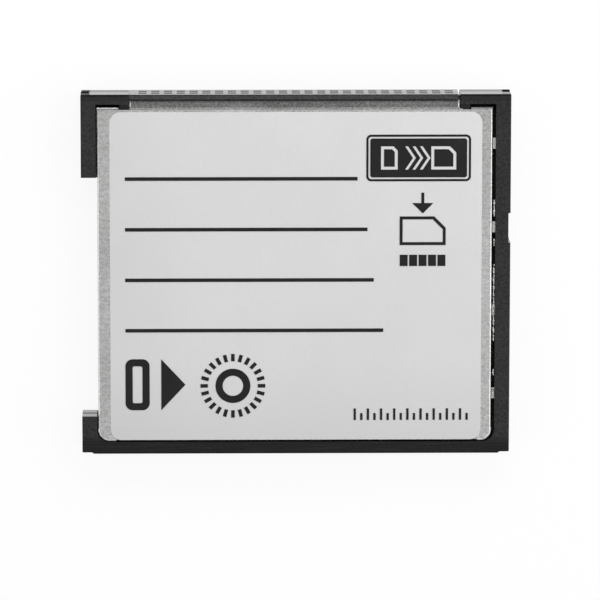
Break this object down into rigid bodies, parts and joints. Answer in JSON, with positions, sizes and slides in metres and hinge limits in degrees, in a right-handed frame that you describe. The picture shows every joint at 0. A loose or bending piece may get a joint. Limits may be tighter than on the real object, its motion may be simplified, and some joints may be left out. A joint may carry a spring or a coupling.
{
  "type": "memory card adapter",
  "caption": "Flat memory card adapter: a black frame between two steel covers, a row socket along its front edge and an open side slot for a smaller card.",
  "frame": {"origin": "middle of the underside, in the plane that the frame's rails rest on", "axes": "+X along the width, away from the side slot; +Y towards the socket edge; +Z out of the labelled face"},
  "size_m": [0.0428, 0.0364, 0.0033],
  "materials": {
    "frame_plastic": "moulded black, fine spark texture",
    "cover_steel": "stainless sheet, fine matt grain",
    "label_stock": "light grey label film, satin",
    "label_ink": "black print",
    "socket_plastic": "moulded black, satin",
    "contact_metal": "gold plated",
    "board": "green solder mask",
    "chip_package": "moulded black package",
    "crystal_can": "plated metal can",
    "capacitor_ceramic": "tan ceramic with tinned ends",
    "resistor_ceramic": "black film on ceramic with tinned ends",
    "insulating_film": "amber film"
  },
  "bodies": {
    "root": {"frame": "frame_plastic", "back_cover": "cover_steel", "front_cover": "cover_steel", "back_label": "label_stock", "label_print": "label_ink", "connector_housing": "socket_plastic", "connector_contacts_upper": "contact_metal", "connector_contacts_lower": "contact_metal", "circuit_board": "board", "controller_chip": "chip_package", "regulator_chip": "chip_package", "crystal": "crystal_can", "chip_capacitors": "capacitor_ceramic", "chip_resistors": "resistor_ceramic", "card_contact_block": "socket_plastic", "card_contacts": "contact_metal", "upper_insulating_film": "insulating_film", "lower_insulating_film": "insulating_film", "card_detect_leaf": "contact_metal", "card_detect_contact": "contact_metal", "write_protect_leaf": "contact_metal", "write_protect_contact": "contact_metal"}
  },
  "joints": []
}
